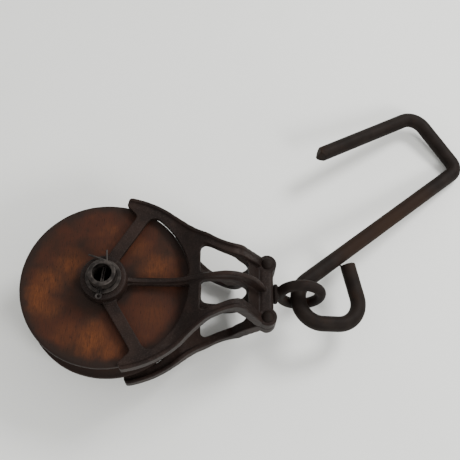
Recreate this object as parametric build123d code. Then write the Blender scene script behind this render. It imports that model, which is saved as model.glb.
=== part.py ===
from build123d import *
import math
import os

# Single-sheave barn block with a swivel eye and a bent-bar beam hanger.
# Frame: origin at the centre of the sheave, +Z along the axle towards the front cheek,
# +X from the sheave towards the swivel eye, +Y towards the free leg of the hanger.
# All sizes are in millimetres and all angles in degrees.

# --- sheave -------------------------------------------------------------------------
SHEAVE_RADIUS = 82.5
SHEAVE_WIDTH = 48.0
FLANGE_WIDTH = 7.0          # flat rim left on each side of the rope groove
GROOVE_DEPTH = 15.0
RIM_ROUND = 2.5             # worn edge of each flange
BUSH_WALL = 3.2
BUSH_PROUD = 0.4            # the bush stands this far past the wood on each side

# --- axle, washers and split pins ----------------------------------------------------
AXLE_RADIUS = 13.0
AXLE_WALL = 4.2
AXLE_PROUD = 13.5           # from the hub's face to the axle's end
AXLE_CHAMFER = 0.8
RUNNING_FIT = 0.1           # radial clearance of each turning fit
WASHER_OVERLAP = 3.8        # the washer is this much larger than the axle
WASHER_CLEARANCE = 0.3
WASHER_THICKNESS = 2.0
PIN_WIRE = 1.8              # one leg of a split pin
PIN_GAP = 0.15              # between the two legs, and round them in their hole
PIN_EYE_RADIUS = 2.4        # to the middle of the wire
PIN_EYE_STANDOFF = 4.5      # from the axle to the eye
PIN_LEAN = -8.0             # direction of the pin in plan, from +Y
PIN_LEG_PAST = 0.8          # straight leg beyond the axle before the bend
PIN_BEND_RADIUS = 2.4
PIN_SHORT_LEG = (80.0, 15.0)     # turn and length after the bend
PIN_LONG_LEG = (12.0, 12.0)

# --- fan of each cheek -----------------------------------------------------------------
CHEEK_GAP = 3.0             # from the sheave's side to the inside of the fan plate
PLATE_THICKNESS = 5.0
BEAD_RISE = 3.0             # raised edge above the fan plate
LIP_DROP = 9.0              # rope guard below the fan plate's top, beside the rim
LIP_WIDTH = 3.6
LIP_CLEARANCE = 1.2         # from the sheave's rim to the lip
HUB_OVERLAP = 9.2           # the hub is this much larger than the axle
HUB_RISE = 9.5              # above the fan plate
HUB_CHAMFER = 1.5
HUB_RUNNING_GAP = 0.5       # from the cheek's inner boss to the bush
SPOKE_ANGLE = 58.0
SPOKE_WIDTH = 12.0
SPOKE_OFFSET = 6.4          # middle line of a spoke from the axle's centre
TIP = (6.3, 77.0)           # distance past the rim and direction, as in the next two
EDGE_MIDDLE = (9.1, 57.7)   # on the round outer edge
EDGE_END = (13.5, 37.6)     # where the edge turns into the arm
TIP_SHELF = (3.6, 7.2)      # from the tip to the corner of its blunt end
TIP_ROUND = 2.8
NOTCH_INSIDE_RIM = 10.0     # hollow between the tip and its spoke
NOTCH_ROUND = 5.0
WINDOW_INSIDE_RIM = 1.8
WINDOW_ROUND = 4.0
WINDOW_TIP_ROUND = 8.0

# --- throat of each cheek; a place along +X is its distance past the sheave's rim ----------
ARM_START = (19.5, 39.8)
ARM_NECK = (44.5, 31.4)     # narrowest place between the arms
ARM_END = (69.5, 34.2)
ARM_WIDTH = 10.0
ARM_DEPTH = 8.5
ARM_RISE = 20.0             # top of the arms at their hump, above the fan plate
HEAD_WEB_DROP = 4.0         # the web between the arms' feet lies this far below them
ARM_PROUD = 0.4             # the arms' tops above the web beside them
FOOT_DROP = 0.8             # the arms' feet end this far below the ears' tops
BAND_END = 8.5              # start of the throat windows
THROAT_END = 54.5
RIB_THICKNESS = 4.6
RIB_CLEARANCE = 1.5         # from the rib's side to a window
RIB_RISE = 8.5              # top of the central rib, above the arms
BARREL_START = 64.5
BARREL_END = 80.0
BARREL_WALL = 1.5           # over the burr's pocket
POCKET_CLEARANCE = 1.0      # round the burr and past the shank's head
EAR = (74.0, 27.2)
EAR_WALL = 3.1              # round a rivet's head
SEAT_CLEARANCE = 0.8        # round a rivet's head

# --- head rivets -----------------------------------------------------------------------
RIVET_RADIUS = 4.5
RIVET_HEAD_OVERLAP = 1.6
RIVET_HEAD_HEIGHT = 3.6

# --- swivel eye --------------------------------------------------------------------------
SHANK_RADIUS = 6.5
COLLAR_OVERLAP = 3.5        # the collar is this much larger than the shank
COLLAR_THICKNESS = 4.0
END_PLAY = 0.4              # each side of the barrel
BURR_OVERLAP = 4.0
BURR_THICKNESS = 3.2
SHANK_HEAD = 2.4            # end of the shank upset over the burr
SHANK_HEAD_OVERLAP = 1.5
EYE_BAR_RADIUS = 5.5
EYE_SLACK = 6.61            # between the hanger's bar and the hole, all round it
EYE_LEAN = -8.0             # the eye as it lies, turned about the swivel's axis
SHARED = 1.0                # overlap of pieces that are joined into one

# --- hanger ------------------------------------------------------------------------------
BAR_RADIUS = 7.94
HANGER_DROOP = 13.9         # the hanger's plane falls this much towards its far corner
SEAT_ANGLE = 254.0          # where the bar rests in the eye, from +X towards +Z
SEAT_GAP = 0.7
SEAT_Y = -1.5
CURL_RADIUS = 24.5
LEG_TURN = 50.8             # curl between the eye and the long leg
LONG_LEG = 231.0
SHARP_CORNER_RADIUS = 12.0
SHARP_CORNER_TURN = 88.3
BACK_LENGTH = 50.0
SOFT_CORNER_RADIUS = 20.0
SOFT_CORNER_TURN = 82.5
FREE_LEG = 122.0
CUT_DEPTH = 6.0             # wedge left by the bar cropper
CUT_FLAT = 0.5              # half of the flat ridge of that wedge
HOOK_TURN = 93.0            # curl between the eye and the foot of the hook
HOOK_FOOT = 16.2
HOOK_RADIUS = 24.0
HOOK_RISE_TURN = 101.0
HOOK_POINT = 36.0

# --- sizes that follow --------------------------------------------------------------------
SHEAVE_SIDE = SHEAVE_WIDTH / 2
BUSH_END = SHEAVE_SIDE + BUSH_PROUD
BUSH_INNER = AXLE_RADIUS + RUNNING_FIT
BUSH_OUTER = BUSH_INNER + BUSH_WALL
PLATE_BOTTOM = SHEAVE_SIDE + CHEEK_GAP
PLATE_TOP = PLATE_BOTTOM + PLATE_THICKNESS
HUB_RADIUS = AXLE_RADIUS + HUB_OVERLAP
HUB_TOP = PLATE_TOP + HUB_RISE
HUB_BOTTOM = BUSH_END + HUB_RUNNING_GAP
AXLE_HALF_LENGTH = HUB_TOP + AXLE_PROUD
PIN_HEIGHT = HUB_TOP + WASHER_THICKNESS + PIN_WIRE / 2 + PIN_GAP
ARM_TOP = PLATE_TOP + ARM_RISE
ARM_BOTTOM = ARM_TOP - ARM_DEPTH
RIB_TOP = ARM_TOP + RIB_RISE
RIB_SIDE = RIB_THICKNESS / 2
BURR_RADIUS = SHANK_RADIUS + BURR_OVERLAP
POCKET_RADIUS = BURR_RADIUS + POCKET_CLEARANCE
HEAD_HALF_THICKNESS = POCKET_RADIUS + BARREL_WALL
BARREL_START_X = SHEAVE_RADIUS + BARREL_START
BARREL_END_X = SHEAVE_RADIUS + BARREL_END
EAR_X = SHEAVE_RADIUS + EAR[0]
EAR_Y = EAR[1]
RIVET_HEAD_RADIUS = RIVET_RADIUS + RIVET_HEAD_OVERLAP
EAR_RADIUS = RIVET_HEAD_RADIUS + EAR_WALL
EYE_HOLE_RADIUS = BAR_RADIUS + EYE_SLACK
EYE_RING_RADIUS = EYE_HOLE_RADIUS + EYE_BAR_RADIUS
COLLAR_START = BARREL_END_X + END_PLAY
COLLAR_END = COLLAR_START + COLLAR_THICKNESS
EYE_X = COLLAR_END + EYE_RING_RADIUS + EYE_BAR_RADIUS / 2
BURR_START = BARREL_START_X - END_PLAY - BURR_THICKNESS
FAR = 400.0                 # larger than the block, for cutting tools


def on_both_sides(half):
    """The half shape on +Y together with its mirror image on -Y."""
    return half + mirror(half, about=Plane.XZ)


def straight_after(edge, length):
    """Straight run that carries on from the end of an arc."""
    return Line(edge @ 1, edge @ 1 + (edge % 1) * length)


def direction(angle):
    """Unit vector in plan at an angle from +X."""
    return Vector(math.cos(math.radians(angle)), math.sin(math.radians(angle)))


def by_the_rim(place, inset=0.0):
    """Point of the fan's edge, from its distance past the rim and its direction."""
    return direction(place[1]) * (SHEAVE_RADIUS + place[0] - inset)


def past_the_rim(place, inset=0.0):
    """Point of an arm's edge, from its distance along +X past the rim."""
    return Vector(SHEAVE_RADIUS + place[0], place[1] - inset)


def edge_line(inset=0.0):
    """Outer edge of one half of the cheek from its tip to the ear, moved in by inset."""
    fan = [by_the_rim(place, inset) for place in (TIP, EDGE_MIDDLE, EDGE_END)]
    round_edge = ThreePointArc(*fan)
    waist = TangentArc(round_edge @ 1, past_the_rim(ARM_START, inset), tangent=round_edge % 1)
    arm = Spline(waist @ 1, past_the_rim(ARM_NECK, inset), past_the_rim(ARM_END, inset),
                 tangents=(waist % 1, (1, 0.1)))
    return [round_edge, waist, arm]


def half_plan(inset=0.0, spoke_root=(0.0, 0.0)):
    """Solid outline of one half of the cheek, seen along the axle."""
    edges = edge_line(inset)
    spoke = direction(SPOKE_ANGLE)
    side = spoke.rotate(Axis.Z, 90) * (SPOKE_OFFSET + SPOKE_WIDTH / 2)
    notch = side + spoke * (SHEAVE_RADIUS - NOTCH_INSIDE_RIM)
    tip = edges[0] @ 0
    shelf = Vector(tip.X - TIP_SHELF[0], tip.Y - TIP_SHELF[1])
    border = Polyline(
        tip, shelf, notch, side + spoke * AXLE_RADIUS, spoke_root, (EAR_X - 5, 0), edges[2] @ 1)
    plan = make_face(edges + [border])
    plan = fillet(plan.vertices().sort_by_distance(notch)[0], NOTCH_ROUND)
    return fillet(plan.vertices().sort_by_distance(tip + (shelf - tip) / 2)[:2], TIP_ROUND)


def fan_window():
    """Opening between the spoke, the central rib and the rim of the sheave."""
    spoke = direction(SPOKE_ANGLE)
    side = spoke.rotate(Axis.Z, 90) * (SPOKE_OFFSET - SPOKE_WIDTH / 2)
    rib_side = RIB_SIDE + RIB_CLEARANCE
    wedge = make_face(Polyline(
        side + spoke * (rib_side / spoke.Y), side + spoke * FAR, (FAR, rib_side), close=True))
    window = (wedge & Circle(SHEAVE_RADIUS - WINDOW_INSIDE_RIM)) - Circle(HUB_RADIUS)
    corners = window.vertices().sort_by(Axis.Y)
    window = fillet(corners[-1], WINDOW_TIP_ROUND)
    return fillet(window.vertices().sort_by(Axis.Y)[:-2], WINDOW_ROUND)


def throat_window():
    """Opening between an arm, the central rib and the cross band."""
    start_x = SHEAVE_RADIUS + BAND_END
    length = THROAT_END - BAND_END
    inner_edge = edge_line(ARM_WIDTH)
    first = inner_edge[0] @ 0
    inside = make_face(inner_edge + [Polyline(
        first, (first.X, 0), (EAR_X - 5, 0), inner_edge[2] @ 1)])
    frame = Pos(start_x + length / 2, RIB_SIDE + RIB_CLEARANCE + FAR / 2) * Rectangle(length, FAR)
    window = inside & frame
    ends = window.vertices().group_by(Axis.X)
    return fillet(ends[0] + ends[-1], WINDOW_ROUND)


def side_slab(rise, depth, foot_shift=0.0):
    """Bent slab that the cheek's plan is cut from: flat fan, raised arms, dropped head."""
    rim = SHEAVE_RADIUS
    flat = PLATE_TOP + rise
    hump = ARM_TOP + rise
    foot = EAR_X - EAR_RADIUS / 2 + foot_shift
    foot_top = HEAD_HALF_THICKNESS - FOOT_DROP - (BEAD_RISE - rise) / 5
    top = FilletPolyline(
        (-HUB_RADIUS, flat), (rim - 12.5, flat), (rim + 14.5, hump), (rim + 47 + foot_shift, hump),
        (foot, foot_top), (EAR_X, foot_top),
        radius=(24, 16, 14, min(6, EAR_X - foot - 1)))
    bottom = FilletPolyline(
        (-HUB_RADIUS, flat - depth), (rim - 7.5, flat - depth), (rim + 17.5, ARM_BOTTOM),
        (rim + 39, ARM_BOTTOM), (BARREL_START_X - 1, 0), (EAR_X, 0), radius=(16, 10, 10, 4))
    outline = make_face([top, bottom, Line(top @ 0, bottom @ 0), Line(top @ 1, bottom @ 1)])
    return extrude(Plane.XZ * outline, FAR / 2, both=True)


def central_rib():
    """Tall thin web from the hub over the arms' hump down to the barrel."""
    rim = SHEAVE_RADIUS
    end_x = BARREL_START_X + 2
    head_top = HEAD_HALF_THICKNESS - 1
    top = Spline(
        (AXLE_RADIUS + 1, HUB_TOP - 2.5), (rim * 0.55, PLATE_TOP + 2.5), (rim - 6.5, PLATE_TOP + 9),
        (rim + 14.5, RIB_TOP - 7), (rim + 35.5, RIB_TOP), (rim + 52.5, RIB_TOP - 8),
        (end_x, PLATE_TOP), (end_x + 6, head_top))
    underside = PLATE_BOTTOM + 1.5
    hollow = ARM_BOTTOM - 3
    border = Polyline(
        top @ 1, (end_x, head_top), (rim + THROAT_END + 1, underside), (rim + 33.5, underside),
        (rim + 26.5, hollow), (rim + 16.5, hollow), (rim + 2.5, underside),
        (AXLE_RADIUS + 1, underside), top @ 0)
    return extrude(Plane.XZ * make_face([top, border]), RIB_SIDE, both=True)


def head():
    """Half of the barrel and its two rivet ears, on the front side of the parting plane."""
    length = BARREL_END_X - BARREL_START_X
    middle = Pos((BARREL_START_X + BARREL_END_X) / 2, 0, 0)
    bar = middle * Box(length, 2 * EAR_Y, 2 * HEAD_HALF_THICKNESS)
    bar = fillet(bar.edges().filter_by(Axis.Y), length * 0.3)
    front_half = Pos(0, 0, FAR / 2) * Box(FAR, FAR, FAR)
    ears = Part() + [
        Pos(EAR_X, side * EAR_Y, 0) * Cylinder(
            EAR_RADIUS, HEAD_HALF_THICKNESS, align=(Align.CENTER, Align.CENTER, Align.MIN))
        for side in (-1, 1)]
    return (bar & front_half) + ears


def front_cheek():
    """One cast cheek: fan plate, bead and lip, hub, arms, rib and half of the head."""
    windows = on_both_sides(fan_window() + throat_window())
    web_plan = on_both_sides(half_plan()) - windows
    lip_plan = on_both_sides(half_plan() - half_plan(LIP_WIDTH, (HUB_RADIUS, 0))
                             - Circle(SHEAVE_RADIUS + LIP_CLEARANCE))
    arm_plan = web_plan - on_both_sides(half_plan(ARM_WIDTH))
    plate = extrude(web_plan, FAR / 2) & side_slab(0, PLATE_THICKNESS, -HEAD_WEB_DROP)
    arms = extrude(arm_plan, FAR / 2) & side_slab(ARM_PROUD, PLATE_THICKNESS)
    lip = extrude(lip_plan, FAR / 2) & side_slab(BEAD_RISE, LIP_DROP + BEAD_RISE)
    hub = Pos(0, 0, HUB_BOTTOM) * Cylinder(
        HUB_RADIUS, HUB_TOP - HUB_BOTTOM, align=(Align.CENTER, Align.CENTER, Align.MIN))
    hub = chamfer(hub.edges().group_by(Axis.Z)[-1], HUB_CHAMFER)
    body = plate + lip + arms + hub + central_rib() + head()
    body -= Cylinder(AXLE_RADIUS, FAR)
    body -= along_x(BARREL_START_X - 1, FAR, SHANK_RADIUS + RUNNING_FIT)
    body -= along_x(BURR_START - SHANK_HEAD - 3 * POCKET_CLEARANCE, BARREL_START_X, POCKET_RADIUS)
    seat = Cylinder(
        RIVET_HEAD_RADIUS + SEAT_CLEARANCE, FAR, align=(Align.CENTER, Align.CENTER, Align.MIN))
    for side in (-1, 1):
        body -= Pos(EAR_X, side * EAR_Y, 0) * Cylinder(RIVET_RADIUS, FAR)
        body -= Pos(EAR_X, side * EAR_Y, HEAD_HALF_THICKNESS) * seat
    return body


def sheave():
    """Wooden wheel with a round rope groove, bored for its bush."""
    chord = SHEAVE_SIDE - FLANGE_WIDTH
    corner = Vector(SHEAVE_RADIUS, chord)
    groove = ThreePointArc(corner, (SHEAVE_RADIUS - GROOVE_DEPTH, 0), (SHEAVE_RADIUS, -chord))
    border = FilletPolyline(
        corner, (SHEAVE_RADIUS, SHEAVE_SIDE), (BUSH_OUTER, SHEAVE_SIDE), radius=RIM_ROUND)
    lower = mirror(border, about=Plane.XZ)
    bore = Line((BUSH_OUTER, SHEAVE_SIDE), (BUSH_OUTER, -SHEAVE_SIDE))
    section = make_face([groove, border, lower, bore])
    return revolve(Plane.XZ * section, Axis.Z)


def sheave_bush():
    """Iron bush pressed through the sheave."""
    return Cylinder(BUSH_OUTER, 2 * BUSH_END) - Cylinder(BUSH_INNER, FAR)


def axle():
    """Tubular axle, cross-drilled for a split pin at each end."""
    tube = Cylinder(AXLE_RADIUS, 2 * AXLE_HALF_LENGTH) - Cylinder(AXLE_RADIUS - AXLE_WALL, FAR)
    ends = tube.edges().group_by(Axis.Z)
    tube = chamfer(ends[0] + ends[-1], AXLE_CHAMFER)
    hole_radius = PIN_WIRE + 1.5 * PIN_GAP
    for side in (-1, 1):
        drill = Rot(0, 0, PIN_LEAN) * Rot(90, 0, 0) * Cylinder(hole_radius, FAR)
        tube -= Pos(0, 0, side * PIN_HEIGHT) * drill
    return tube


def axle_washer():
    """Plain washer between the front hub and its split pin."""
    ring = Cylinder(AXLE_RADIUS + WASHER_OVERLAP, WASHER_THICKNESS)
    ring -= Cylinder(AXLE_RADIUS + WASHER_CLEARANCE, FAR)
    return Pos(0, 0, HUB_TOP + WASHER_THICKNESS / 2) * ring


def pin_leg(side, turn, length):
    """One leg of a split pin, from inside its eye through the axle to its bent tip."""
    start = -(AXLE_RADIUS + PIN_EYE_STANDOFF + PIN_WIRE)
    end = AXLE_RADIUS + PIN_LEG_PAST
    x = side * (PIN_WIRE + PIN_GAP) / 2
    leg = Line((x, start), (x, end))
    bend = JernArc(leg @ 1, (0, 1), PIN_BEND_RADIUS, turn)
    tip = straight_after(bend, length)
    return sweep(Plane.XZ.offset(-start) * Pos(x, 0) * Circle(PIN_WIRE / 2), Wire([leg, bend, tip]))


def split_pin():
    """Front split pin: an eye, two legs through the axle, and both legs bent over."""
    eye_y = -(AXLE_RADIUS + PIN_EYE_STANDOFF + PIN_EYE_RADIUS)
    eye = Pos(0, eye_y, 0) * Torus(PIN_EYE_RADIUS, PIN_WIRE / 2)
    pin = eye + pin_leg(-1, *PIN_SHORT_LEG) + pin_leg(1, *PIN_LONG_LEG)
    return Pos(0, 0, PIN_HEIGHT) * Rot(0, 0, PIN_LEAN) * pin


def head_rivet(side):
    """Rivet through the ears of both cheeks, with a round head at each end."""
    shank = Cylinder(RIVET_RADIUS, 2 * HEAD_HALF_THICKNESS)
    dome_radius = (RIVET_HEAD_RADIUS**2 + RIVET_HEAD_HEIGHT**2) / (2 * RIVET_HEAD_HEIGHT)
    ball = Pos(0, 0, HEAD_HALF_THICKNESS + RIVET_HEAD_HEIGHT - dome_radius) * Sphere(dome_radius)
    above = Pos(0, 0, HEAD_HALF_THICKNESS + FAR / 2) * Box(FAR, FAR, FAR)
    dome = ball & above
    return Pos(EAR_X, side * EAR_Y, 0) * (shank + dome + mirror(dome, about=Plane.XY))


def along_x(start, end, radius):
    """Round bar on the swivel's axis between two places along it."""
    return Pos((start + end) / 2, 0, 0) * Rot(0, 90, 0) * Cylinder(radius, end - start)


def swivel_eye():
    """Eye ring on a collar and shank, the shank's end upset over the burr."""
    ring = Pos(EYE_X, 0, 0) * Rot(90 + EYE_LEAN, 0, 0) * Torus(EYE_RING_RADIUS, EYE_BAR_RADIUS)
    collar = along_x(COLLAR_START, COLLAR_END, SHANK_RADIUS + COLLAR_OVERLAP)
    collar = fillet(collar.edges(), COLLAR_THICKNESS * 0.3)
    neck = along_x(COLLAR_END - SHARED, EYE_X - EYE_RING_RADIUS, EYE_BAR_RADIUS)
    shank = along_x(BURR_START - SHARED, COLLAR_START + SHARED, SHANK_RADIUS)
    button = along_x(BURR_START - SHANK_HEAD, BURR_START, SHANK_RADIUS + SHANK_HEAD_OVERLAP)
    button = fillet(button.edges().group_by(Axis.X)[0], SHANK_HEAD * 0.7)
    return ring + collar + neck + shank + button


def swivel_burr():
    """Washer that the shank's end is riveted over, inside the barrel."""
    plate = along_x(BURR_START, BURR_START + BURR_THICKNESS, BURR_RADIUS)
    return plate - along_x(BURR_START - SHARED, BARREL_START_X, SHANK_RADIUS)


def hanger():
    """One bent round bar: open hook through the eye, long leg, back and free leg."""
    seat = Vector(0, 0)
    upper_curl = JernArc(seat, (0, 1), CURL_RADIUS, -LEG_TURN)
    long_leg = straight_after(upper_curl, LONG_LEG)
    sharp_corner = JernArc(long_leg @ 1, long_leg % 1, SHARP_CORNER_RADIUS, SHARP_CORNER_TURN)
    back = straight_after(sharp_corner, BACK_LENGTH)
    soft_corner = JernArc(back @ 1, back % 1, SOFT_CORNER_RADIUS, SOFT_CORNER_TURN)
    free_leg = straight_after(soft_corner, FREE_LEG)
    lower_curl = JernArc(seat, (0, -1), CURL_RADIUS, HOOK_TURN)
    foot = straight_after(lower_curl, HOOK_FOOT)
    rise = JernArc(foot @ 1, foot % 1, HOOK_RADIUS, HOOK_RISE_TURN)
    point = straight_after(rise, HOOK_POINT)
    leg_path = Wire([upper_curl, long_leg, sharp_corner, back, soft_corner, free_leg])
    hook_path = Wire([lower_curl, foot, rise, point])
    section = Plane.XZ * Circle(BAR_RADIUS)
    bar = sweep(section, leg_path) + sweep(section, hook_path)
    bar -= wedge_cut(free_leg @ 1, free_leg % 1)
    rest = direction(SEAT_ANGLE) * (EYE_HOLE_RADIUS - BAR_RADIUS - SEAT_GAP)
    return Location((EYE_X + rest.X, SEAT_Y, rest.Y), (0, HANGER_DROOP, 0)) * bar


def wedge_cut(end, along):
    """Cutting tool for a cropped end: two faces that meet on a ridge across the bar."""
    frame = Plane(end, x_dir=along, z_dir=(0, 0, 1))
    reach = BAR_RADIUS + 1
    side = make_face(Polyline((CUT_FLAT, 0), (-CUT_DEPTH, reach), (reach, reach), close=True))
    cutter = extrude(side, reach, both=True)
    return frame * (cutter + mirror(cutter, about=Plane.XZ))


def rear(front_piece):
    """The matching piece on the other side of the middle plane."""
    return mirror(front_piece, about=Plane.XY)


def main():
    """Build every piece and write each one to its own file."""
    pieces = {
        "front_cheek": front_cheek(),
        "front_washer": axle_washer(),
        "front_split_pin": split_pin(),
    }
    pieces |= {name.replace("front", "rear"): rear(piece) for name, piece in pieces.items()}
    pieces |= {
        "axle": axle(),
        "sheave": sheave(),
        "sheave_bush": sheave_bush(),
        "near_head_rivet": head_rivet(-1),
        "far_head_rivet": head_rivet(1),
        "swivel_eye": swivel_eye(),
        "swivel_burr": swivel_burr(),
        "hanger": hanger(),
    }
    os.makedirs("parts", exist_ok=True)
    for name, piece in pieces.items():
        export_step(piece, f"parts/{name}.step")


main()
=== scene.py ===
"""Looks of a single-sheave barn block with a swivel eye and a bent-bar beam hanger.

Every length is in metres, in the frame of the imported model: the origin is the
middle of the wheel, +Z runs along the axle towards the front cheek, +X points
from the wheel to the swivel eye and +Y to the free leg of the hanger.
"""

import logging
import math
from dataclasses import dataclass, field
from enum import Enum
from typing import Any, Union

import bmesh
import bpy
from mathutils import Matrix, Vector


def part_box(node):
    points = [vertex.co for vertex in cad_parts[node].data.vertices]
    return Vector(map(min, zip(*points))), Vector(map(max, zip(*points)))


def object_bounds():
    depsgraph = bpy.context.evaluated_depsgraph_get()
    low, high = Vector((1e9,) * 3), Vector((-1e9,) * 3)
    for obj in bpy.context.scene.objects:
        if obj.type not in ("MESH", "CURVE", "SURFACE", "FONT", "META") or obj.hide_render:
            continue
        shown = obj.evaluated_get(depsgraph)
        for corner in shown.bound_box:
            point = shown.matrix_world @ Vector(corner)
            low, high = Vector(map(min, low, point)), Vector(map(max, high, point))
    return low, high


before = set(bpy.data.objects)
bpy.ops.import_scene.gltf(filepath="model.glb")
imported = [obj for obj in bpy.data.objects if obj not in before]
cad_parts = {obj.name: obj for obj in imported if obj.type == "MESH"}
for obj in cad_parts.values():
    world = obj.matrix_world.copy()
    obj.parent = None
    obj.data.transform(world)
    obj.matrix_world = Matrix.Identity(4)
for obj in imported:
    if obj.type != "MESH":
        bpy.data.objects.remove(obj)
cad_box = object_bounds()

log = logging.getLogger("barn_block")

MM = 0.001
SPOT_CORE = 0.15            # share of a spot's radius that is at full strength
WELD_GAP = 0.004 * MM       # corners of the loose triangles that become one
SHARP_EDGE = math.radians(35)
Colour = tuple[float, float, float]
Point = tuple[float, float, float]
Feed = Union["Signal", float, tuple[float, ...]]


# --- shader recipes ---------------------------------------------------------------------


class Signal:
    """A value, vector or colour on its way through the nodes of one finish."""

    def __init__(self, recipe: "Recipe", socket: bpy.types.NodeSocket) -> None:
        """Keep the recipe it belongs to and the socket it comes out of."""
        self.recipe = recipe
        self.socket = socket

    def _math(self, operation: str, first: Feed, second: Feed) -> "Signal":
        """Add one Math node.

        Args:
            operation: The node's operation.
            first: Its first value.
            second: Its second value.

        Returns:
            The result as a signal.
        """
        feeds = {0: first, 1: second}
        return self.recipe.node("ShaderNodeMath", {"operation": operation}, feeds)

    def __add__(self, other: Feed) -> "Signal":
        """Sum of two values."""
        return self._math("ADD", self, other)

    def __radd__(self, other: Feed) -> "Signal":
        """Sum of two values."""
        return self._math("ADD", other, self)

    def __sub__(self, other: Feed) -> "Signal":
        """Difference of two values."""
        return self._math("SUBTRACT", self, other)

    def __rsub__(self, other: Feed) -> "Signal":
        """Difference of two values, the other way round."""
        return self._math("SUBTRACT", other, self)

    def __mul__(self, other: Feed) -> "Signal":
        """Product of two values."""
        return self._math("MULTIPLY", self, other)

    def __rmul__(self, other: Feed) -> "Signal":
        """Product of two values."""
        return self._math("MULTIPLY", other, self)

    def at_least(self, other: Feed) -> "Signal":
        """The larger of two values."""
        return self._math("MAXIMUM", self, other)

    def step(self, low: float, high: float) -> "Signal":
        """Smooth step of this value.

        Args:
            low: Value that gives 0.
            high: Value that gives 1; it may be the smaller of the two.

        Returns:
            The stepped value, from 0 to 1.
        """
        falls = low > high
        edges = (high, low) if falls else (low, high)
        ends = (1.0, 0.0) if falls else (0.0, 1.0)
        feeds = {"Value": self, "From Min": edges[0], "From Max": edges[1],
                 "To Min": ends[0], "To Max": ends[1]}
        return self.recipe.node("ShaderNodeMapRange", {"interpolation_type": "SMOOTHSTEP"}, feeds)


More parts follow.
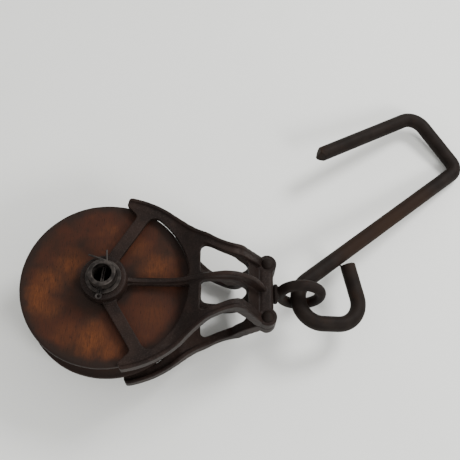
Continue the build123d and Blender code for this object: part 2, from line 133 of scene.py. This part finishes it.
class Recipe:
    """The nodes of one procedural material."""

    def __init__(self, name: str) -> None:
        """Start an empty material with one Principled shader.

        Args:
            name: Name of the material.
        """
        self.material = bpy.data.materials.new(name)
        self.material.use_nodes = True
        self.tree = self.material.node_tree
        self.tree.nodes.clear()
        self.shader = self.tree.nodes.new("ShaderNodeBsdfPrincipled")
        output = self.tree.nodes.new("ShaderNodeOutputMaterial")
        self.tree.links.new(self.shader.outputs["BSDF"], output.inputs["Surface"])
        self.place = self.node("ShaderNodeTexCoord", out="Object")

    def _feed(self, socket: bpy.types.NodeSocket, value: Feed) -> None:
        """Link a signal to a socket, or set the socket's own value."""
        if isinstance(value, Signal):
            self.tree.links.new(value.socket, socket)
        elif isinstance(value, tuple) and socket.type == "RGBA" and len(value) == 3:
            socket.default_value = (*value, 1.0)
        else:
            socket.default_value = value

    def node(self, kind: str, settings: dict[str, Any] | None = None,
             feeds: dict[int | str, Feed] | None = None, out: int | str = 0) -> Signal:
        """Add one node.

        Args:
            kind: The node's type.
            settings: Its own settings, set before its sockets.
            feeds: Values or signals for its input sockets.
            out: The output socket that is used.

        Returns:
            That output as a signal.
        """
        node = self.tree.nodes.new(kind)
        for name, value in (settings or {}).items():
            setattr(node, name, value)
        for name, value in (feeds or {}).items():
            self._feed(node.inputs[name], value)
        return Signal(self, node.outputs[out])

    def mix(self, amount: Feed, base: Feed, top: Feed) -> Signal:
        """Blend two colours.

        Args:
            amount: Share of the top colour, from 0 to 1.
            base: The colour at 0.
            top: The colour at 1.

        Returns:
            The blended colour.
        """
        settings = {"data_type": "RGBA", "clamp_factor": True}
        return self.node("ShaderNodeMix", settings, {0: amount, 6: base, 7: top}, 2)

    def stretched(self, stretch: Point, turn: Point = (0.0, 0.0, 0.0)) -> Signal:
        """Object coordinates turned and then squeezed, so that patterns get long.

        Args:
            stretch: How much longer a pattern gets along each axis.
            turn: Rotation of the pattern in radians.

        Returns:
            The changed coordinates.
        """
        scale = tuple(1.0 / s for s in stretch)
        feeds = {"Vector": self.place, "Rotation": turn, "Scale": scale}
        return self.node("ShaderNodeMapping", {"vector_type": "POINT"}, feeds)

    def warped(self, amount: float, size: float) -> Signal:
        """Object coordinates pushed about by noise, for ragged edges.

        Args:
            amount: Largest push in metres.
            size: Size of the noise's lumps in metres.

        Returns:
            The pushed coordinates.
        """
        push = self.node("ShaderNodeTexNoise", None,
                         {"Vector": self.place, "Scale": 1.0 / size, "Detail": 3.0}, "Color")
        centred = self.node("ShaderNodeVectorMath", {"operation": "SUBTRACT"},
                            {0: push, 1: (0.5, 0.5, 0.5)})
        scaled = self.node("ShaderNodeVectorMath", {"operation": "SCALE"},
                           {0: centred, "Scale": 2 * amount})
        return self.node("ShaderNodeVectorMath", {"operation": "ADD"}, {0: self.place, 1: scaled})

    def noise(self, size: float, detail: float = 3.0, roughness: float = 0.5,
              place: Signal | None = None) -> Signal:
        """Cloudy noise from 0 to 1.

        Args:
            size: Size of its lumps in metres.
            detail: Number of finer layers.
            roughness: Share of the finer layers.
            place: Coordinates, or None for the object's own.

        Returns:
            The noise value.
        """
        feeds = {"Vector": place or self.place, "Scale": 1.0 / size,
                 "Detail": detail, "Roughness": roughness}
        return self.node("ShaderNodeTexNoise", None, feeds)

    def near(self, centre: Point, radius: float, place: Signal | None = None) -> Signal:
        """Soft round spot.

        Args:
            centre: Its middle in metres.
            radius: Where it fades out.
            place: Coordinates, or None for the object's own.

        Returns:
            1 in the middle, falling to 0 at the radius.
        """
        distance = self.node("ShaderNodeVectorMath", {"operation": "DISTANCE"},
                             {0: place or self.place, 1: centre}, "Value")
        return distance.step(radius, radius * SPOT_CORE)

    def round_the_axle(self, place: Signal | None = None) -> Signal:
        """Distance from the axle's middle line in metres."""
        flat = self.node("ShaderNodeVectorMath", {"operation": "MULTIPLY"},
                         {0: place or self.place, 1: (1.0, 1.0, 0.0)})
        return self.node("ShaderNodeVectorMath", {"operation": "LENGTH"}, {0: flat}, "Value")

    def crest(self) -> Signal:
        """How much the surface bulges: above one half on ridges, below in hollows."""
        return self.node("ShaderNodeNewGeometry", out="Pointiness")

    def finish(self, colour: Feed, roughness: Feed, height: Signal, depth: float,
               bump: float, **constants: float) -> bpy.types.Material:
        """Connect the shader.

        Args:
            colour: Base colour.
            roughness: Roughness.
            height: Relief from 0 to 1.
            depth: Depth of the relief in metres.
            bump: Strength of the relief.
            constants: Plain values for other sockets, by name with _ for a space.

        Returns:
            The finished material.
        """
        relief = self.node("ShaderNodeBump", None,
                           {"Strength": bump, "Distance": depth, "Height": height}, "Normal")
        self._feed(self.shader.inputs["Base Color"], colour)
        self._feed(self.shader.inputs["Roughness"], roughness)
        self._feed(self.shader.inputs["Normal"], relief)
        for name, value in constants.items():
            self._feed(self.shader.inputs[name.replace("_", " ")], value)
        return self.material


# --- finishes ---------------------------------------------------------------------------


@dataclass(frozen=True)
class Spot:
    """A worn or stained place: where it is, how far it reaches and how strong it is."""

    centre: Point
    radius: float
    strength: float


@dataclass(frozen=True)
class CastIronFinish:
    """Sand-cast iron under an old black-brown coat of paint and grease."""

    name: str = "sand_cast_iron"
    coat: Colour = (0.0100, 0.0064, 0.0053)
    brown: Colour = (0.0205, 0.0120, 0.0093)
    # Colour of rubbed wear, also painted on ridges as a highlight.
    worn: Colour = (0.062, 0.046, 0.039)
    # Near-black colour painted as shade into the hollows of the casting.
    hollow_shade: Colour = (0.0042, 0.0030, 0.0027)
    roughness: float = 0.52
    specular: float = 0.10
    grain: float = 1.1 * MM
    lump: float = 5 * MM

    def make(self) -> bpy.types.Material:
        """Build the material."""
        recipe = Recipe(self.name)
        grit = recipe.noise(self.grain, 4.0, 0.65)
        lumps = recipe.noise(self.lump, 3.0)
        stain = recipe.noise(34 * MM, 4.0, 0.6).step(0.38, 0.68)
        crest = recipe.crest()
        # Ridges get the worn colour: partly rubbed wear, partly a painted highlight.
        ridge = crest.step(0.53, 0.60) * (0.35 + 0.65 * lumps.step(0.3, 0.6))
        # Painted shade: hollows of the casting are darkened towards near-black.
        hollow_shade = crest.step(0.485, 0.43)
        colour = recipe.mix(stain, self.coat, self.brown)
        colour = recipe.mix(grit.step(0.48, 0.75) * 0.4, colour, self.worn)
        colour = recipe.mix(hollow_shade * 0.8, colour, self.hollow_shade)
        colour = recipe.mix(ridge * 0.5, colour, self.worn)
        roughness = self.roughness + 0.22 * (grit - 0.5) - 0.08 * ridge + 0.12 * hollow_shade
        return recipe.finish(colour, roughness, 0.6 * grit + 0.4 * lumps, 0.5 * MM, 0.45,
                             Specular_IOR_Level=self.specular)


@dataclass(frozen=True)
class OiledWoodFinish:
    """Dark oiled hardwood with red-brown and amber worn patches."""

    name: str = "oiled_hardwood"
    oil: Colour = (0.022, 0.0115, 0.0080)
    red: Colour = (0.044, 0.0155, 0.0088)
    amber: Colour = (0.105, 0.034, 0.0125)
    # Colour of grease and painted shade near the rim and round the hub.
    grease_and_shade: Colour = (0.017, 0.0115, 0.0095)
    pore: Colour = (0.008, 0.005, 0.004)
    radius: float = 82.5 * MM
    # Where the grease and painted shade start and reach full strength near the rim, as shares of
    # the radius.
    rim_grease_and_shade: tuple[float, float] = (0.84, 0.97)
    hub_grease_and_shade: tuple[float, float] = (33 * MM, 20 * MM)
    spots: tuple[Spot, ...] = (
        Spot((-0.066, -0.016, 0.024), 0.026, 1.0),
        Spot((-0.055, 0.002, 0.024), 0.022, 0.75),
        Spot((-0.035, 0.018, 0.024), 0.024, 0.75),
        Spot((-0.052, -0.026, 0.024), 0.018, 0.6),
        Spot((-0.008, -0.056, 0.024), 0.026, 0.95),
        Spot((0.008, -0.066, 0.024), 0.018, 0.7),
        Spot((-0.032, -0.052, 0.024), 0.020, 0.4),
        Spot((0.048, 0.014, 0.024), 0.026, 0.8),
        Spot((0.030, 0.036, 0.024), 0.018, 0.45),
        Spot((0.046, -0.030, 0.024), 0.022, 0.3),
    )

    def make(self) -> bpy.types.Material:
        """Build the material."""
        recipe = Recipe(self.name)
        torn = recipe.warped(7 * MM, 16 * MM)
        fibres = recipe.noise(1.0 * MM, 4.0, 0.7, recipe.stretched((1.0, 12.0, 12.0)))
        figure = recipe.noise(4 * MM, 6.0, 0.75, recipe.stretched((1.0, 3.0, 3.0)))
        cloud = recipe.noise(38 * MM, 3.0, 0.55)
        pores = recipe.noise(0.7 * MM, 2.0, 0.5, recipe.stretched((1.0, 9.0, 9.0)))
        worn = 0.55 * cloud.step(0.60, 0.78)
        for spot in self.spots:
            worn = worn.at_least(recipe.near(spot.centre, spot.radius, torn) * spot.strength)
        # Grease and painted shade: the wheel is darker towards the rim and round the hub, where
        # the cheeks shade it.
        out = recipe.round_the_axle(torn)
        rim = out.step(self.radius * self.rim_grease_and_shade[0], self.radius * self.rim_grease_and_shade[1])
        hub = out.step(*self.hub_grease_and_shade)
        colour = recipe.mix(cloud.step(0.36, 0.62), self.oil, self.red)
        colour = recipe.mix(worn * (2.6 * figure - 0.45), colour, self.amber)
        colour = recipe.mix(rim.at_least(hub) * 0.9, colour, self.grease_and_shade)
        colour = recipe.mix(fibres.step(0.48, 0.66) * 0.5, colour, self.oil)
        colour = recipe.mix(pores.step(0.62, 0.74) * 0.7, colour, self.pore)
        roughness = 0.50 + 0.16 * (fibres - 0.5) + 0.10 * rim - 0.06 * worn
        return recipe.finish(colour, roughness, 0.7 * fibres - 0.3 * pores, 0.25 * MM, 0.4,
                             Specular_IOR_Level=0.10)


@dataclass(frozen=True)
class SteelFinish:
    """Bare steel that has gone dark with oil, brighter where it is rubbed."""

    name: str
    dark: Colour
    bright: Colour
    roughness: float
    metallic: float = 0.75

    def make(self) -> bpy.types.Material:
        """Build the material."""
        recipe = Recipe(self.name)
        scuff = recipe.noise(1.4 * MM, 4.0, 0.65)
        film = recipe.noise(7 * MM, 3.0)
        ridge = recipe.crest().step(0.51, 0.58)
        colour = recipe.mix(film.step(0.35, 0.7), self.dark, self.bright)
        colour = recipe.mix(ridge * 0.7, colour, self.bright)
        roughness = self.roughness + 0.3 * (scuff - 0.5)
        return recipe.finish(colour, roughness, scuff, 0.15 * MM, 0.3, Metallic=self.metallic)


@dataclass(frozen=True)
class ForgedIronFinish:
    """Forged bar iron with a dark skin, brown rust in places and scale pits."""

    name: str
    skin: Colour = (0.0095, 0.0066, 0.0054)
    rust: Colour = (0.024, 0.0130, 0.0080)
    light: Colour = (0.018, 0.0130, 0.0105)
    roughness: float = 0.60
    rusty: tuple[Spot, ...] = ()

    def make(self) -> bpy.types.Material:
        """Build the material."""
        recipe = Recipe(self.name)
        torn = recipe.warped(9 * MM, 14 * MM)
        scale = recipe.noise(1.6 * MM, 4.0, 0.65)
        hammer = recipe.noise(11 * MM, 2.0)
        rust = 0.45 * recipe.noise(17 * MM, 4.0, 0.62).step(0.55, 0.75)
        for spot in self.rusty:
            rust = rust.at_least(recipe.near(spot.centre, spot.radius, torn) * spot.strength)
        rust = rust * (0.5 + 0.8 * scale)
        colour = recipe.mix(hammer.step(0.3, 0.7) * 0.5, self.skin, self.light)
        colour = recipe.mix(rust, colour, self.rust)
        colour = recipe.mix(scale.step(0.6, 0.78) * 0.4, colour, self.light)
        roughness = self.roughness + 0.2 * (scale - 0.5) + 0.14 * rust
        return recipe.finish(colour, roughness, 0.6 * scale + 0.4 * hammer, 0.5 * MM, 0.35,
                             Specular_IOR_Level=0.08)


@dataclass(frozen=True)
class FloorFinish:
    """Pale matt floor with a faint tone, like a sheet of painted board."""

    name: str = "pale_floor"
    pale: Colour = (0.93, 0.935, 0.90)
    shade: Colour = (0.905, 0.91, 0.875)

    def make(self) -> bpy.types.Material:
        """Build the material."""
        recipe = Recipe(self.name)
        cloud = recipe.noise(0.25, 3.0)
        fleck = recipe.noise(1.2 * MM, 2.0)
        colour = recipe.mix(cloud.step(0.35, 0.65), self.pale, self.shade)
        roughness = 0.62 + 0.1 * (fleck - 0.5)
        return recipe.finish(colour, roughness, fleck, 0.05 * MM, 0.1, Specular_IOR_Level=0.3)


# --- pieces -----------------------------------------------------------------------------


class Surface(Enum):
    """How a piece of the frame is finished over its mesh."""

    CAST = "cast"
    TURNED = "turned"
    FORGED = "forged"
    MACHINED = "machined"


@dataclass(frozen=True)
class Softening:
    """Sizes of the rounded, slightly uneven skin of one kind of piece.

    Attributes:
        grid: Spacing of the new skin in metres, or 0 to keep the mesh.
        passes: Smoothing passes over it.
        lump: Size of its unevenness in metres.
        swell: Height of its unevenness in metres, always inwards.
        edge: Rounding of edges where the mesh is kept, in metres.
    """

    grid: float = 0.0
    passes: int = 0
    lump: float = 0.01
    swell: float = 0.0
    edge: float = 0.0


SKINS = {
    Surface.CAST: Softening(grid=0.8 * MM, passes=4, lump=6 * MM, swell=0.3 * MM),
    Surface.TURNED: Softening(grid=1.0 * MM, passes=2, lump=22 * MM, swell=0.45 * MM),
    Surface.FORGED: Softening(grid=0.7 * MM, passes=3, lump=13 * MM, swell=0.12 * MM),
    Surface.MACHINED: Softening(edge=0.25 * MM),
}


def dress(node: str, surface: Surface, material: bpy.types.Material) -> bpy.types.Object:
    """Give a piece of the frame its skin and its material.

    Args:
        node: Name of the piece.
        surface: Kind of skin.
        material: Its finish.

    Returns:
        The piece's object.
    """
    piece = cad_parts[node]
    skin = SKINS[surface]
    weld = piece.modifiers.new("weld", "WELD")
    weld.merge_threshold = WELD_GAP
    if skin.grid:
        grid = piece.modifiers.new("skin", "REMESH")
        grid.mode = "VOXEL"
        grid.voxel_size = skin.grid
        grid.use_smooth_shade = True
        soften = piece.modifiers.new("soften", "SMOOTH")
        soften.factor = 0.5
        soften.iterations = skin.passes
        unevenness = bpy.data.textures.new(f"{node}_unevenness", "CLOUDS")
        unevenness.noise_scale = skin.lump
        unevenness.noise_depth = 2
        swell = piece.modifiers.new("unevenness", "DISPLACE")
        swell.texture = unevenness
        swell.texture_coords = "LOCAL"
        swell.strength = skin.swell
        swell.mid_level = 1.0
    if skin.edge:
        edge = piece.modifiers.new("edges", "BEVEL")
        edge.limit_method = "ANGLE"
        edge.angle_limit = SHARP_EDGE
        edge.width = skin.edge
        edge.segments = 2
        edge.harden_normals = True
    for place in piece.material_slots:
        place.material = material
    log.info("%s: %s", node, surface.value)
    return piece


@dataclass
class CheekPair:
    """Two cast cheeks and the rivets that clamp their heads together."""

    finish: CastIronFinish = field(default_factory=CastIronFinish)
    rivet_finish: ForgedIronFinish = field(
        default_factory=lambda: ForgedIronFinish(name="rivet_iron"))

    def build(self) -> None:
        """Dress both cheeks and their rivets."""
        iron = self.finish.make()
        for side in ("front", "rear"):
            dress(f"{side}_cheek", Surface.CAST, iron)
        heads = self.rivet_finish.make()
        for side in ("near", "far"):
            dress(f"{side}_head_rivet", Surface.MACHINED, heads)


@dataclass
class GroovedWheel:
    """Wooden wheel with a rope groove, and its iron bush."""

    finish: OiledWoodFinish = field(default_factory=OiledWoodFinish)
    bush_finish: SteelFinish = field(default_factory=lambda: SteelFinish(
        "greased_bush", (0.02, 0.016, 0.014), (0.06, 0.05, 0.045), 0.45))

    def build(self) -> None:
        """Dress the wheel and its bush."""
        dress("sheave", Surface.TURNED, self.finish.make())
        dress("sheave_bush", Surface.MACHINED, self.bush_finish.make())


@dataclass
class AxleSet:
    """Tubular axle, its washers and the split pins that hold it."""

    tube: SteelFinish = SteelFinish(
        "axle_steel", (0.012, 0.0095, 0.0085), (0.062, 0.052, 0.046), 0.46)
    wire: SteelFinish = SteelFinish(
        "pin_wire", (0.014, 0.011, 0.0098), (0.060, 0.051, 0.046), 0.55)

    def build(self) -> None:
        """Dress the axle, washers and split pins."""
        steel = self.tube.make()
        dress("axle", Surface.MACHINED, steel)
        wire = self.wire.make()
        for side in ("front", "rear"):
            dress(f"{side}_washer", Surface.MACHINED, steel)
            dress(f"{side}_split_pin", Surface.MACHINED, wire)


@dataclass
class SwivelEye:
    """Forged eye on its shank, and the burr under the shank's head."""

    def build(self) -> None:
        """Dress the eye and the burr, with rust inside the ring."""
        low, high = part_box("swivel_eye")
        middle = (high.x - (high.z - low.z) / 2, 0.0, -0.002)
        rusty = (Spot(middle, 19 * MM, 1.0),)
        iron = ForgedIronFinish(
            name="eye_iron", skin=(0.0085, 0.0056, 0.0047), rust=(0.033, 0.0125, 0.0065),
            light=(0.018, 0.013, 0.0108), rusty=rusty).make()
        dress("swivel_eye", Surface.FORGED, iron)
        dress("swivel_burr", Surface.MACHINED, iron)


@dataclass
class BeamHanger:
    """Round bar bent into a hook, a long leg, a back and a free leg."""

    leg_share: float = 0.55
    rust_reach: float = 60 * MM

    def build(self) -> None:
        """Dress the bar, with brown rust along the long leg and at the cut end."""
        low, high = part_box("hanger")
        along = low.lerp(high, self.leg_share)
        leg = (along.x, low.y + (high.y - low.y) * 0.45, along.z)
        cut = (low.x + 30 * MM, high.y - 68 * MM, high.z - 10 * MM)
        rusty = (
            Spot(leg, self.rust_reach, 0.9),
            Spot((leg[0] - 38 * MM, leg[1] - 30 * MM, leg[2] + 9 * MM), 42 * MM, 0.75),
            Spot((leg[0] + 34 * MM, leg[1] + 28 * MM, leg[2] - 9 * MM), 38 * MM, 0.7),
            Spot(cut, 16 * MM, 0.9),
        )
        iron = ForgedIronFinish(name="hanger_iron", rusty=rusty).make()
        dress("hanger", Surface.FORGED, iron)


# --- surroundings -----------------------------------------------------------------------


@dataclass(frozen=True)
class SoftBox:
    """A large soft light that points at the block."""

    name: str
    place: Point
    size: float
    power: float
    tint: Colour = (1.0, 1.0, 1.0)

    def hang(self, target: Vector) -> None:
        """Place the light and turn it to the target."""
        lamp = bpy.data.lights.new(self.name, "AREA")
        lamp.shape = "DISK"
        lamp.size = self.size
        lamp.energy = self.power
        lamp.color = self.tint
        holder = bpy.data.objects.new(self.name, lamp)
        holder.location = self.place
        holder.rotation_euler = (target - Vector(self.place)).to_track_quat("-Z", "Y").to_euler()
        bpy.context.scene.collection.objects.link(holder)


@dataclass
class Studio:
    """Pale floor, soft lights and the camera."""

    floor_half: float = 8.0
    sky: Colour = (1.0, 1.0, 0.99)
    sky_strength: float = 0.85
    lens: float = 62.6
    eye: Point = (0.1022, -0.2566, 0.7507)
    eye_turn: Point = (23.389, -1.525, 0.471)
    lights: tuple[SoftBox, ...] = (
        SoftBox("key_light", (0.95, 0.75, 1.15), 0.55, 19.0),
        SoftBox("second_light", (0.95, -0.85, 1.05), 0.5, 13.0),
    )

    def lay_floor(self) -> None:
        """Lay the floor just under the lowest point of the block."""
        net = bmesh.new()
        bmesh.ops.create_grid(net, x_segments=8, y_segments=8, size=self.floor_half)
        bmesh.ops.translate(net, verts=net.verts[:], vec=(0.0, 0.0, cad_box[0].z))
        mesh = bpy.data.meshes.new("floor")
        net.to_mesh(mesh)
        net.free()
        floor = bpy.data.objects.new("floor", mesh)
        floor.data.materials.append(FloorFinish().make())
        bpy.context.scene.collection.objects.link(floor)

    def light(self) -> None:
        """Set the sky and hang the lights."""
        world = bpy.data.worlds.new("soft_sky")
        world.use_nodes = True
        sky = world.node_tree.nodes["Background"]
        sky.inputs["Color"].default_value = (*self.sky, 1.0)
        sky.inputs["Strength"].default_value = self.sky_strength
        bpy.context.scene.world = world
        for box in self.lights:
            box.hang((cad_box[0] + cad_box[1]) / 2)

    def set_camera(self) -> None:
        """Place the camera."""
        camera = bpy.data.cameras.new("camera")
        camera.lens = self.lens
        holder = bpy.data.objects.new("camera", camera)
        holder.location = self.eye
        holder.rotation_euler = tuple(math.radians(a) for a in self.eye_turn)
        bpy.context.scene.collection.objects.link(holder)
        bpy.context.scene.camera = holder

    def build(self) -> None:
        """Lay the floor, light it and place the camera."""
        self.lay_floor()
        self.light()
        self.set_camera()


def main() -> None:
    """Build the surroundings and dress every piece in order."""
    logging.basicConfig(level=logging.INFO, format="%(message)s")
    for part in (Studio(), GroovedWheel(), AxleSet(), CheekPair(), SwivelEye(), BeamHanger()):
        part.build()
        log.info("%s ready", type(part).__name__)


if __name__ == "__main__":
    main()
